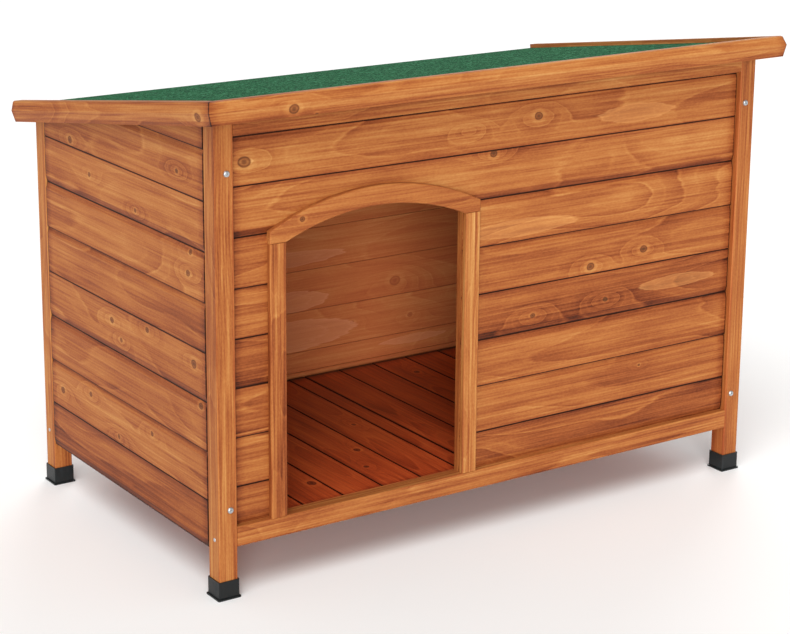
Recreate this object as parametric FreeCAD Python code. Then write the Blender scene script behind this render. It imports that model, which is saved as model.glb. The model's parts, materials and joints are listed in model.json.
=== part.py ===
import FreeCAD, Part
import math
import os

# Flat-roofed wooden dog house: four posts on plastic foot caps carry walls of tongue-and-groove
# boards. An arched doorway stands left of centre in the front wall. The felted roof is a lid: it
# turns on two butt hinges behind the rear wall, and a slotted steel stay on each side holds it.
# Millimetres. +X is to the right, +Y to the rear, +Z up. The origin is on the ground under the
# middle of the roof's outline, and the doorway faces -Y.

# Carcass, measured over the posts
body_width = 984.0
body_depth = 570.0
wall_height = 707.0  # top of the walls at the posts' front faces
roof_slope = 0.165  # fall of the roof from front to rear, per unit of depth
post_size = 30.0
arris = 1.2  # planed-off edge of posts, rails, battens and jambs
saw_allowance = 30.0  # timber left above the roof's slope until it is sawn off

# Foot caps
cap_floor = 3.0
cap_height = 28.0
cap_wall = 1.6
cap_clearance = 0.15
cap_flange = 1.8  # how far the foot's rim stands out from the cap's wall
cap_rim_height = 2.5

# Rails of the front and rear walls
sill_bottom = 76.0
sill_height = 30.0
rail_depth = 24.0
top_rail_height = 35.5  # at the wall's outer face
rear_top_rail_height = 35.5

# Tongue-and-groove boards
board_pitch = 72.6
board_thickness = 11.0
board_recess = 9.0  # how far front and rear boards lie behind the posts' faces
joint_gap = 0.8
bevel_height = 10.0
bevel_depth = 2.2
tongue_thickness = 3.4
tongue_length = 5.0
tongue_clearance = 0.3
tongue_shift = 0.55  # tongue's middle behind the board's middle, clear of the bevel
bevel_cycle = 3  # one board in three is laid with its bevel down
narrow_bevel_share = 1 / 3  # most that a bevel takes of a narrow board
wall_end_gap = 0.8  # front and rear boards to posts
side_end_gap = 1.5  # side boards to posts
side_bottom = 70.5
thinnest_board = 6.0  # a lowest board narrower than this is left out

# Battens behind the boards
side_batten_width = 20.0  # across the house
side_batten_depth = 25.0
side_batten_lift = 2.0  # battens' lower ends above the side boards' lower edge
cleat_width = 15.0
cleat_depth = 10.0

# Doorway
door_offset = 87.0  # left post's outer face to the left jamb's outer edge
door_outer_width = 360.0
jamb_width = 26.0
door_trim_thickness = 9.6
arch_drop = 126.5  # top rail's lower edge to the arch's crown
arch_rise = 33.0
header_end = 18.0
header_rise = 44.0

# Removable floor, two panels of planks on bearers
floor_top = 100.0
plank_thickness = 10.0
plank_pitch = 69.5
plank_gap = 2.0
plank_arris = 0.5
floor_end_gap = 7.0  # planks to the sills
floor_side_gap = 12.0
floor_seam = 470.0  # left post's outer face to the seam between the panels
seam_gap = 3.0
notch_clearance = 1.0
bearer_height = 18.0
bearer_depth = 20.0
floor_batten_height = 15.0
floor_batten_width = 20.0
floor_batten_inset = 110.0
floor_batten_margin = 12.0

# Roof
front_overhang = 38.0
rear_overhang = 29.0
side_overhang = 28.0
seat_gap = 0.4  # lid to wall tops when shut
deck_thickness = 9.0
felt_thickness = 2.0
trim_width = 20.0
trim_height = 33.0
trim_drop = 16.0  # below the deck's underside
trim_ridge = 18.0  # height of the trim's ridge above its lower edge
trim_bevel = 5.0  # how far the lower bevel leans in
trim_lean = 4.0  # how far the upper bevel leans in
trim_nose_height = 1.5
trim_nose_depth = 2.5
deck_clearance = 0.3
lid_batten_width = 20.0
lid_batten_height = 24.0
lid_batten_front = 60.0  # posts' front faces to the battens' ends
lid_batten_rear = 65.0

# Butt hinges
hinge_inset = 162.0  # post's outer face to the hinge's middle
hinge_width = 60.0
hinge_knuckles = 3
knuckle_gap = 0.3
knuckle_radius = 4.0
hinge_pin_radius = 2.0
pin_clearance = 0.06
leaf_thickness = 1.5
leaf_cutout = 0.6
wall_leaf_length = 34.0
roof_leaf_length = 22.0
hinge_stand_off = 0.4

# Lid stays
lid_opening = 70.0  # degrees
stay_reach = 200.0  # from the hinge line to the stay's pivot, and to its guide screw
stay_shut_angle = 12.0  # between those two lines when the lid is shut
stay_pivot_depth = 12.0  # pivot below the deck's underside
arm_thickness = 2.0
arm_width = 16.0
arm_wall_gap = 3.0
arm_batten_gap = 2.0
slot_clearance = 0.3
slot_margin = 0.5
arm_end = 8.0
guide_radius = 3.0
guide_collar_radius = 7.0
guide_head_radius = 6.5
guide_head_height = 2.2
guide_gap = 0.4
pivot_radius = 2.5
pivot_clearance = 0.06
pivot_head_radius = 5.0
pivot_head_height = 1.8

# Screws through the posts
post_screw_inset = 19.0
post_screw_low = 134.0
post_screw_drop = 86.0  # upper screws below the wall tops
post_screw_radius = 2.2
post_screw_head_radius = 4.8
post_screw_head_height = 2.5
bore_clearance = 0.05

# Worked out from the sizes above
roof_angle = math.atan(roof_slope)
cos_roof = math.cos(roof_angle)
sin_roof = math.sin(roof_angle)
half_width = body_width / 2
roof_half_width = half_width + side_overhang
total_depth = front_overhang + body_depth + rear_overhang
front_y = -total_depth / 2 + front_overhang
rear_y = front_y + body_depth
sill_top = sill_bottom + sill_height
lid_length = (total_depth - (trim_height - trim_ridge) * sin_roof) / cos_roof
ridge_level = trim_ridge - trim_drop
lid_y = front_y - front_overhang - ridge_level * sin_roof
lid_z = wall_height + seat_gap / cos_roof - roof_slope * (lid_y - front_y)
side_inner = half_width - board_thickness
raw_top = wall_height + saw_allowance
far = 4 * (body_width + body_depth + wall_height)  # past everything, for cutters
in_plane = 0.01  # an edge this near a plane lies in it

V = FreeCAD.Vector
X_AXIS = V(1, 0, 0)
Y_AXIS = V(0, 1, 0)
Z_AXIS = V(0, 0, 1)
nodes = {}


def wall_top(y):
    """Height of the wall tops at depth y."""
    return wall_height - roof_slope * (y - front_y)


def box(low, high):
    """Box between two corners."""
    size = V(*high) - V(*low)
    return Part.makeBox(size.x, size.y, size.z, V(*low))


def polygon(points):
    """Flat face from a closed list of points."""
    return Part.Face(Part.makePolygon(points + points[:1]))


def bar(low, high, axis, edge=arris):
    """Squared timber between two corners, its long edges planed off; axis is 0, 1 or 2."""
    first, second = [index for index in range(3) if index != axis]
    a0, a1, b0, b1 = low[first], high[first], low[second], high[second]
    outline = [(a0 + edge, b0), (a1 - edge, b0), (a1, b0 + edge), (a1, b1 - edge)]
    outline += [(a1 - edge, b1), (a0 + edge, b1), (a0, b1 - edge), (a0, b0 + edge)]
    points = []
    for a, b in outline:
        point = [0.0, 0.0, 0.0]
        point[first] = a
        point[second] = b
        point[axis] = low[axis]
        points.append(V(*point))
    run = [0.0, 0.0, 0.0]
    run[axis] = high[axis] - low[axis]
    return polygon(points).extrude(V(*run))


def rod(radius, start, direction, length):
    """Round bar."""
    return Part.makeCylinder(radius, length, start, direction)


def on_lid(shape):
    """Move a shape from the lid's own frame (x, along the slope, square to it) to its place."""
    placed = shape.copy()
    placed.rotate(V(0, 0, 0), X_AXIS, -math.degrees(roof_angle))
    placed.translate(V(0, lid_y, lid_z))
    return placed


def along_slope(y):
    """Distance along the lid of a point on its underside at depth y."""
    return (y - lid_y) / cos_roof


def under_roof(shape):
    """Saw a wall piece off along the roof's slope."""
    above = box((-far, -far, -seat_gap), (far, far, far))
    return shape.cut(on_lid(above))


def add(name, solids):
    """Keep a node's solids under its name."""
    nodes[name] = solids if isinstance(solids, list) else [solids]


def both_sides(name, shape):
    """Add a left-hand piece and its mirror image on the right."""
    add(name + "_left", shape)
    add(name + "_right", shape.mirror(V(0, 0, 0), X_AXIS))


# ---------------------------------------------------------------- boards


def tongue_middle(thickness):
    """Depth of a tongue's middle behind its board's outer face."""
    return thickness / 2 + tongue_shift


def board(length, face, thickness=board_thickness, groove=True, tongue=True, bevel_low=False):
    """Tongue-and-groove board along +X; its outer face looks along -Y and its tongue is on top."""
    tongue_out = tongue_middle(thickness) - tongue_thickness / 2
    tongue_in = tongue_middle(thickness) + tongue_thickness / 2
    bevel = min(bevel_height, face * narrow_bevel_share)
    low_bevel = bevel if bevel_low else 0.0
    high_bevel = 0.0 if bevel_low else bevel
    outline = [(0 if not low_bevel else bevel_depth, 0)]
    if low_bevel:
        outline.append((0, low_bevel))
    outline.append((0, face - high_bevel))
    if high_bevel:
        outline.append((bevel_depth, face))
    if tongue:
        outline += [(tongue_out, face), (tongue_out, face + tongue_length)]
        outline += [(tongue_in, face + tongue_length), (tongue_in, face)]
    outline += [(thickness, face), (thickness, 0)]
    if groove:
        depth = tongue_length + tongue_clearance - joint_gap
        outline += [(tongue_in + tongue_clearance, 0), (tongue_in + tongue_clearance, depth)]
        outline += [(tongue_out - tongue_clearance, depth), (tongue_out - tongue_clearance, 0)]
    return polygon([V(0, y, z) for y, z in outline]).extrude(V(length, 0, 0))


def turned_board(solid, angle, x, y, z):
    """Turn a board about the vertical and stand its corner at x, y, z."""
    solid.rotate(V(0, 0, 0), Z_AXIS, angle)
    solid.translate(V(x, y, z))
    return solid


def bevel_is_low(row):
    """Some boards are laid with the bevel on their lower edge."""
    return row % bevel_cycle == 1


def hanging_rows(top, bottom):
    """Boards fitted down from a rail: (row, lower edge, face height), the lowest sawn to fit."""
    rows = []
    row = 0
    upper = top
    while upper - bottom > thinnest_board:
        lower = max(bottom, upper - board_pitch)
        rows.append((row, lower, upper - lower - joint_gap))
        upper = lower
        row += 1
    return rows


def end_wall_boards(top, angle, x, y):
    """Full-width boards of the front or rear wall, from the top rail down to the sill."""
    length = body_width - 2 * post_size - 2 * wall_end_gap
    solids = []
    for row, lower, face in hanging_rows(top, sill_top):
        lowest = lower <= sill_top
        solid = board(length, face, groove=not lowest, bevel_low=bevel_is_low(row))
        solids.append(turned_board(solid, angle, x, y, lower))
    return solids


def side_boards(side):
    """Side wall boards, stacked from the bottom and sawn off along the roof; side -1 is left."""
    length = body_depth - 2 * post_size - 2 * side_end_gap
    start_y = (rear_y - post_size - side_end_gap) if side < 0 else (front_y + post_size + side_end_gap)
    solids = []
    row = 0
    lower = side_bottom
    while wall_top(front_y + post_size) - lower > thinnest_board:
        solid = board(length, board_pitch - joint_gap, groove=row > 0, bevel_low=bevel_is_low(row + 1))
        placed = turned_board(solid, 90 * side, side * half_width, start_y, lower)
        solids += under_roof(placed).Solids
        row += 1
        lower += board_pitch
    return solids


# ---------------------------------------------------------------- carcass


def make_posts():
    """Four corner posts, sawn off under the roof and drilled for their long screws."""
    for side, side_name in ((-1, "left"), (1, "right")):
        outer = side * half_width
        x0, x1 = sorted((outer, outer - side * post_size))
        screw_x = outer - side * post_screw_inset
        for y0, end_name in ((front_y, "front"), (rear_y - post_size, "rear")):
            post = under_roof(bar((x0, y0, cap_floor), (x1, y0 + post_size, raw_top), 2))
            for height in screw_heights(end_name):
                hole = rod(post_screw_radius + bore_clearance, V(screw_x, y0, height), Y_AXIS, post_size)
                post = post.cut(hole)
            add("post_%s_%s" % (end_name, side_name), post)
            add("foot_cap_%s_%s" % (end_name, side_name), foot_cap((x0 + x1) / 2, y0 + post_size / 2))


def screw_heights(end_name):
    """Heights of the two screws through a front or rear post."""
    return post_screw_low, wall_top(front_y if end_name == "front" else rear_y) - post_screw_drop


def foot_cap(x, y):
    """Plastic cap with a square socket for the post and a rim at the ground."""
    half_socket = post_size / 2 + cap_clearance
    half_cap = half_socket + cap_wall
    half_rim = half_cap + cap_flange
    cap = bar((x - half_cap, y - half_cap, 0), (x + half_cap, y + half_cap, cap_height), 2)
    rim = bar((x - half_rim, y - half_rim, 0), (x + half_rim, y + half_rim, cap_rim_height), 2)
    socket = box((x - half_socket, y - half_socket, cap_floor), (x + half_socket, y + half_socket, far))
    return cap.fuse(rim).cut(socket).removeSplitter()


def make_rails():
    """Sills and top rails between the posts; each top rail is grooved for the highest board."""
    inner = half_width - post_size
    add("front_sill", bar((-inner, front_y, sill_bottom), (inner, front_y + rail_depth, sill_top), 0))
    add("rear_sill", bar((-inner, rear_y - rail_depth, sill_bottom), (inner, rear_y, sill_top), 0))
    front_low = front_rail_bottom()
    rear_low = rear_rail_bottom()
    front = bar((-inner, front_y, front_low), (inner, front_y + rail_depth, raw_top), 0)
    rear = bar((-inner, rear_y - rail_depth, rear_low), (inner, rear_y, raw_top), 0)
    groove_middle = board_recess + tongue_middle(board_thickness)
    half_groove = tongue_thickness / 2 + tongue_clearance
    depth = tongue_length + tongue_clearance
    for name, rail, low, y in (("front_top_rail", front, front_low, front_y + groove_middle),
                               ("rear_top_rail", rear, rear_low, rear_y - groove_middle)):
        groove = box((-inner, y - half_groove, sill_top), (inner, y + half_groove, low + depth))
        add(name, under_roof(rail).cut(groove))


def front_rail_bottom():
    """Lower edge of the front top rail."""
    return wall_height - top_rail_height


def rear_rail_bottom():
    """Lower edge of the rear top rail."""
    return wall_top(rear_y) - rear_top_rail_height


def make_side_battens():
    """Corner battens against the posts, which the side boards are nailed to."""
    x0 = -side_inner
    x1 = x0 + side_batten_width
    low_z = side_bottom + side_batten_lift
    for end_name, y0 in (("front", front_y + post_size), ("rear", rear_y - post_size - side_batten_depth)):
        batten = under_roof(bar((x0, y0, low_z), (x1, y0 + side_batten_depth, raw_top), 2))
        both_sides("side_batten_" + end_name, batten)


def make_cleats():
    """Slim uprights behind the ends of the front and rear boards, one pair to a wall."""
    x0 = -half_width + post_size
    x1 = x0 + cleat_width
    depth = board_recess + board_thickness
    front = bar((x0, front_y + depth, sill_top), (x1, front_y + depth + cleat_depth, front_rail_bottom()), 2)
    rear = bar((x0, rear_y - depth - cleat_depth, sill_top), (x1, rear_y - depth, rear_rail_bottom()), 2)
    rail_room = box((-far, front_y, front_rail_bottom()), (far, front_y + rail_depth, far))
    front = front.cut(rail_room)
    add("front_cleats", [front, front.mirror(V(0, 0, 0), X_AXIS)])
    add("rear_cleats", [rear, rear.mirror(V(0, 0, 0), X_AXIS)])


def post_screw(x, y, z, heading):
    """Pan-head screw through a post, as far as the batten that its thread bites into."""
    start = V(x, y, z)
    head = rod(post_screw_head_radius, start, -heading, post_screw_head_height)
    shank = rod(post_screw_radius, start, heading, post_size)
    return head.fuse(shank).removeSplitter()


def make_post_screws():
    """Four screws through the front posts and four through the rear ones."""
    x = half_width - post_screw_inset
    front = []
    rear = []
    for side in (-1, 1):
        front += [post_screw(side * x, front_y, z, Y_AXIS) for z in screw_heights("front")]
        rear += [post_screw(side * x, rear_y, z, -Y_AXIS) for z in screw_heights("rear")]
    add("front_post_screws", front)
    add("rear_post_screws", rear)


# ---------------------------------------------------------------- doorway


def door_edges():
    """Outer left, inner left, inner right and outer right of the door surround."""
    left = -half_width + door_offset
    right = left + door_outer_width
    return left, left + jamb_width, right - jamb_width, right


def arch_spring():
    """Height at which the jambs end and the arch begins."""
    return front_rail_bottom() - arch_drop - arch_rise


def doorway(low, y0, y1):
    """Prism of the arched opening, from height low up, between two depths."""
    _, left, right, _ = door_edges()
    spring = arch_spring()
    middle = (left + right) / 2
    arc = Part.Arc(V(right, y0, spring), V(middle, y0, spring + arch_rise), V(left, y0, spring)).toShape()
    sides = Part.makePolygon([V(left, y0, spring), V(left, y0, low), V(right, y0, low), V(right, y0, spring)])
    return Part.Face(Part.Wire(sides.Edges + [arc])).extrude(V(0, y1 - y0, 0))


def make_door_surround():
    """Two jambs on the sill and the arched header that stands on them."""
    outer_left, left, right, outer_right = door_edges()
    spring = arch_spring()
    back = front_y + board_recess
    face = back - door_trim_thickness
    add("door_jamb_left", bar((outer_left, face, sill_top), (left, back, spring), 2))
    add("door_jamb_right", bar((right, face, sill_top), (outer_right, back, spring), 2))
    middle = (outer_left + outer_right) / 2
    shoulder = spring + header_end
    outer = Part.Arc(V(outer_left, face, shoulder), V(middle, face, shoulder + header_rise),
                     V(outer_right, face, shoulder)).toShape()
    inner = Part.Arc(V(left, face, spring), V(middle, face, spring + arch_rise),
                     V(right, face, spring)).toShape()
    right_end = Part.makePolygon([V(outer_right, face, shoulder), V(outer_right, face, spring),
                                  V(right, face, spring)])
    left_end = Part.makePolygon([V(left, face, spring), V(outer_left, face, spring),
                                 V(outer_left, face, shoulder)])
    edges = Part.sortEdges([outer, inner] + right_end.Edges + left_end.Edges)[0]
    header = Part.Face(Part.Wire(edges)).extrude(V(0, back - face, 0))
    front_edges = [edge for edge in header.Edges if edge.BoundBox.YMax < face + in_plane]
    add("door_header", header.makeChamfer(arris, front_edges))


def make_front_boards():
    """Front boards: whole above the doorway, notched by the arch, and in two stacks beside it."""
    _, left, right, _ = door_edges()
    x = -half_width + post_size + wall_end_gap
    boards = end_wall_boards(front_rail_bottom(), 0, x, front_y + board_recess)
    opening = doorway(0, front_y - post_size, front_y + 2 * post_size)
    beside_left = []
    beside_right = []
    above = 0
    for solid in boards:
        pieces = solid.cut(opening).Solids
        if len(pieces) == 1:
            above += 1
            add("front_board_%d" % above, pieces)
            continue
        for piece in pieces:
            stack = beside_left if piece.CenterOfMass.x < (left + right) / 2 else beside_right
            stack.append(piece)
    add("front_boards_left", beside_left)
    add("front_boards_right", beside_right)


def make_other_boards():
    """Rear wall and side wall boards."""
    x = half_width - post_size - wall_end_gap
    add("rear_boards", end_wall_boards(rear_rail_bottom(), 180, x, rear_y - board_recess))
    add("left_wall_boards", side_boards(-1))
    add("right_wall_boards", side_boards(1))


# ---------------------------------------------------------------- floor


def planks(x0, x1):
    """Planks of one floor panel, running front to rear, notched round the corner battens."""
    y0 = front_y + rail_depth + floor_end_gap
    y1 = rear_y - rail_depth - floor_end_gap
    notch_x = side_inner - side_batten_width - notch_clearance
    notch_y = post_size + side_batten_depth + notch_clearance
    solids = []
    left = x0
    while x1 - left > plank_gap + thinnest_board:
        right = min(left + plank_pitch - plank_gap, x1)
        plank = bar((left, y0, floor_top - plank_thickness), (right, y1, floor_top), 1, plank_arris)
        for side in (-1, 1):
            low_x, high_x = sorted((side * notch_x, side * half_width))
            for low_y, high_y in ((front_y, front_y + notch_y), (rear_y - notch_y, rear_y)):
                plank = plank.cut(box((low_x, low_y, 0), (high_x, high_y, wall_height)))
        solids.append(plank)
        left += plank_pitch
    return solids


def make_floor():
    """Two floor panels, each planks on two battens, resting on bearers behind the sills."""
    seam = -half_width + floor_seam
    edge = side_inner - floor_side_gap
    under = floor_top - plank_thickness
    for name, x0, x1 in (("left", -edge, seam), ("right", seam + seam_gap, edge)):
        solids = planks(x0, x1)
        add("floor_planks_" + name, solids)
        low_x = solids[0].BoundBox.XMin + floor_batten_margin
        high_x = solids[-1].BoundBox.XMax - floor_batten_margin
        battens = []
        for y in (front_y + post_size + floor_batten_inset, rear_y - post_size - floor_batten_inset):
            low = (low_x, y - floor_batten_width / 2, under - floor_batten_height)
            battens.append(bar(low, (high_x, y + floor_batten_width / 2, under), 0))
        add("floor_battens_" + name, battens)
    x = side_inner - side_batten_width - notch_clearance
    y = front_y + rail_depth
    add("floor_bearer_front", bar((-x, y, under - bearer_height), (x, y + bearer_depth, under), 0))
    y = rear_y - rail_depth
    add("floor_bearer_rear", bar((-x, y - bearer_depth, under - bearer_height), (x, y, under), 0))


# ---------------------------------------------------------------- roof lid


def trim_outline():
    """Ridged section of a roof trim: (inward from the ridge, above the deck's underside)."""
    low = -trim_drop
    high = trim_height - trim_drop
    lower_bevel = [(trim_bevel, low), (0, ridge_level)]
    upper_bevel = [(trim_lean, high - trim_nose_height), (trim_lean + trim_nose_depth, high)]
    return lower_bevel + upper_bevel + [(trim_width, high), (trim_width, low)]


def mitre(side, keep_front):
    """Cutter for the mitred corner between the front trim and a side trim."""
    corner = side * roof_half_width
    reach = 2 * trim_width
    inner = corner - side * reach
    outer = corner + side * trim_width
    third = V(outer, reach, -far) if keep_front else V(inner, -trim_width, -far)
    points = [V(outer, -trim_width, -far), V(inner, reach, -far), third]
    return polygon(points).extrude(V(0, 0, 2 * far))


def make_trims():
    """Front trim and the two side trims, mitred at the front corners and square at the rear."""
    points = [V(-roof_half_width, u, n) for u, n in trim_outline()]
    front = polygon(points).extrude(V(2 * roof_half_width, 0, 0))
    front = front.cut(mitre(-1, True)).cut(mitre(1, True))
    add("roof_trim_front", on_lid(front))
    for side, name in ((-1, "roof_trim_left"), (1, "roof_trim_right")):
        points = [V(side * (roof_half_width - inward), 0, n) for inward, n in trim_outline()]
        trim = polygon(points).extrude(V(0, lid_length, 0)).cut(mitre(side, False))
        add(name, on_lid(trim))


def make_deck():
    """Boards of the roof deck, laid across the house with their good face down."""
    half = roof_half_width - trim_width - deck_clearance
    rear = lid_length - felt_thickness
    front = trim_width + deck_clearance
    solids = []
    row = 0
    start = rear
    while start - front > thinnest_board:
        face = min(board_pitch, start - front) - joint_gap
        last = start - board_pitch < front + thinnest_board
        solid = board(2 * half, face, deck_thickness, groove=row > 0, tongue=not last)
        solid.rotate(V(0, 0, 0), X_AXIS, 90)
        solid.translate(V(-half, start, 0))
        solids.append(on_lid(solid))
        start -= board_pitch
        row += 1
    add("roof_deck", solids)


def make_felt():
    """Roofing felt over the deck, turned down over its rear edge."""
    half = roof_half_width - trim_width - deck_clearance
    front = trim_width + deck_clearance
    fold = lid_length - felt_thickness
    top = deck_thickness + felt_thickness
    outline = [(front, deck_thickness), (front, top), (fold, top), (lid_length, deck_thickness)]
    outline += [(lid_length, 0), (fold, 0), (fold, deck_thickness)]
    points = [V(-half, u, n) for u, n in outline]
    add("roof_felt", on_lid(polygon(points).extrude(V(2 * half, 0, 0))))


def lid_batten(x0, x1):
    """Batten under the deck, running with the slope."""
    start = along_slope(front_y + lid_batten_front)
    end = along_slope(rear_y - lid_batten_rear)
    return bar((x0, start, -lid_batten_height), (x1, end, 0), 1)


def make_lid_battens():
    """Middle batten, and side battens that carry the stays' pivot screws."""
    outer = -side_inner + arm_wall_gap + arm_thickness + arm_batten_gap
    both_sides("lid_batten", on_lid(lid_batten(outer, outer + lid_batten_width)))
    add("lid_batten_middle", on_lid(lid_batten(-lid_batten_width / 2, lid_batten_width / 2)))


# ---------------------------------------------------------------- hinges


def hinge_line():
    """Depth and height of the hinge pins."""
    stand = knuckle_radius + hinge_stand_off
    y = rear_y + stand
    return y, wall_top(y) + (seat_gap - stand) / cos_roof


def hinge_on_lid():
    """The same line in the lid's own frame."""
    y, _ = hinge_line()
    drop = knuckle_radius + hinge_stand_off
    return (y - lid_y + drop * sin_roof) / cos_roof, -drop


def knuckles(x, y, z, first):
    """Every second knuckle of a hinge, starting at number first, with the slots between them."""
    length = hinge_width / hinge_knuckles
    own = []
    slots = []
    for index in range(hinge_knuckles):
        start = x - hinge_width / 2 + index * length
        if index % 2 == first:
            low = V(start + knuckle_gap / 2, y, z)
            own.append(rod(knuckle_radius, low, X_AXIS, length - knuckle_gap))
        else:
            reach = knuckle_radius + leaf_cutout
            low = (start - knuckle_gap / 2, y - reach, z - reach)
            slots.append(box(low, (start + length + knuckle_gap / 2, y + reach, z + reach)))
    return own, slots


def hinge_leaf(plate, x, y, z, first):
    """Leaf: a plate with knuckles, slotted for the other leaf's and bored for the pin."""
    own, slots = knuckles(x, y, z, first)
    leaf = plate
    for slot in slots:
        leaf = leaf.cut(slot)
    for knuckle in own:
        leaf = leaf.fuse(knuckle)
    bore = rod(hinge_pin_radius + pin_clearance, V(x - hinge_width, y, z), X_AXIS, 2 * hinge_width)
    return leaf.cut(bore).removeSplitter()


def make_hinges():
    """Two butt hinges between the rear top rail and the underside of the roof's rear edge."""
    x = -half_width + hinge_inset
    y, z = hinge_line()
    u, n = hinge_on_lid()
    half = hinge_width / 2
    wall_plate = box((x - half, rear_y, z - wall_leaf_length), (x + half, rear_y + leaf_thickness, z))
    both_sides("hinge_wall_leaf", hinge_leaf(wall_plate, x, y, z, 0))
    roof_plate = box((x - half, u, -leaf_thickness), (x + half, u + roof_leaf_length, 0))
    both_sides("hinge_roof_leaf", on_lid(hinge_leaf(roof_plate, x, u, n, 1)))
    pins = [rod(hinge_pin_radius, V(side * x - half, y, z), X_AXIS, hinge_width) for side in (-1, 1)]
    add("hinge_pins", pins)


# ---------------------------------------------------------------- lid stays


def pivot_on_lid():
    """Stay's pivot in the lid's own frame."""
    u, n = hinge_on_lid()
    rise = -stay_pivot_depth - n
    return u - math.sqrt(stay_reach ** 2 - rise ** 2), -stay_pivot_depth


def pivot_point():
    """Depth and height of the stay's pivot when the lid is shut."""
    u, n = pivot_on_lid()
    return lid_y + u * cos_roof + n * sin_roof, lid_z - u * sin_roof + n * cos_roof


def guide_point():
    """Depth and height of the guide screw, as far from the hinge line as the pivot is."""
    y, z = hinge_line()
    pivot_y, pivot_z = pivot_point()
    elevation = math.atan2(pivot_z - z, y - pivot_y) - math.radians(stay_shut_angle)
    return y - stay_reach * math.cos(elevation), z + stay_reach * math.sin(elevation)


def chord(degrees):
    """Distance from pivot to guide screw at an angle between them, seen from the hinge line."""
    return 2 * stay_reach * math.sin(math.radians(degrees) / 2)


def make_stay_arm():
    """Slotted arm, hung on the lid's pivot with its slot over the guide screw."""
    shut = chord(stay_shut_angle)
    opened = chord(stay_shut_angle + lid_opening)
    slot_radius = guide_radius + slot_clearance
    slot_start = shut - slot_margin
    slot_end = opened + slot_margin
    tip = slot_end + slot_radius + arm_end - arm_width / 2
    blade = rounded_strip(arm_width / 2, 0, tip)
    slot = rounded_strip(slot_radius, slot_start, slot_end)
    eye = rod(pivot_radius + pivot_clearance, V(0, 0, 0), X_AXIS, arm_thickness)
    arm = blade.cut(slot).cut(eye)
    pivot_y, pivot_z = pivot_point()
    guide_y, guide_z = guide_point()
    turn = math.degrees(math.atan2(guide_y - pivot_y, pivot_z - guide_z))
    arm.rotate(V(0, 0, 0), X_AXIS, turn)
    arm.translate(V(-side_inner + arm_wall_gap, pivot_y, pivot_z))
    both_sides("stay_arm", arm)


def rounded_strip(radius, start, end):
    """Strip hanging down from start to end below the origin, with round ends."""
    strip = box((0, -radius, -end), (arm_thickness, radius, -start))
    for depth in (start, end):
        strip = strip.fuse(rod(radius, Z_AXIS * -depth, X_AXIS, arm_thickness))
    return strip.removeSplitter()


def make_stay_screws():
    """Guide screw on each side wall and pivot screw on each side batten of the lid."""
    y, z = guide_point()
    wall = -side_inner
    collar_height = arm_wall_gap - guide_gap
    travel = arm_thickness + 2 * guide_gap
    collar = rod(guide_collar_radius, V(wall, y, z), X_AXIS, collar_height)
    shank = rod(guide_radius, V(wall + collar_height, y, z), X_AXIS, travel)
    head = rod(guide_head_radius, V(wall + collar_height + travel, y, z), X_AXIS, guide_head_height)
    both_sides("stay_guide", collar.fuse(shank).fuse(head).removeSplitter())
    y, z = pivot_point()
    arm_outer = wall + arm_wall_gap
    batten_face = arm_outer + arm_thickness + arm_batten_gap
    head = rod(pivot_head_radius, V(arm_outer - guide_gap, y, z), -X_AXIS, pivot_head_height)
    journal = rod(pivot_radius, V(arm_outer - guide_gap, y, z), X_AXIS, batten_face - arm_outer + guide_gap)
    both_sides("stay_pivot", head.fuse(journal).removeSplitter())


# ---------------------------------------------------------------- write the parts


def main():
    """Make every piece and write one file per node."""
    make_posts()
    make_rails()
    make_side_battens()
    make_cleats()
    make_post_screws()
    make_door_surround()
    make_front_boards()
    make_other_boards()
    make_floor()
    make_trims()
    make_deck()
    make_felt()
    make_lid_battens()
    make_hinges()
    make_stay_arm()
    make_stay_screws()
    os.makedirs("parts", exist_ok=True)
    low = V(far, far, far)
    high = -low
    for name, solids in nodes.items():
        shape = Part.makeCompound([piece for solid in solids for piece in solid.Solids])
        shape.exportStep("parts/%s.step" % name)
        limits = shape.BoundBox
        low = V(min(low.x, limits.XMin), min(low.y, limits.YMin), min(low.z, limits.ZMin))
        high = V(max(high.x, limits.XMax), max(high.y, limits.YMax), max(high.z, limits.ZMax))
        print("%-26s %2d solids, valid %s" % (name, len(shape.Solids), shape.isValid()))
    print("nodes", len(nodes), "low", tuple(low), "high", tuple(high))
    print("hinge line", hinge_line())
    print("stay pivot", pivot_point(), "guide", guide_point())
    print("rear rail bottom", rear_rail_bottom(), "wall top at rear", wall_top(rear_y))


main()
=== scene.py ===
"""Finishes, felt and fasteners of a flat-roofed wooden dog house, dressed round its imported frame."""
import json
import logging
import math
from dataclasses import dataclass, field
from enum import Enum

import bmesh
import bpy
from bmesh.types import BMesh
from mathutils import Euler, Matrix, Vector, noise


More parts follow.
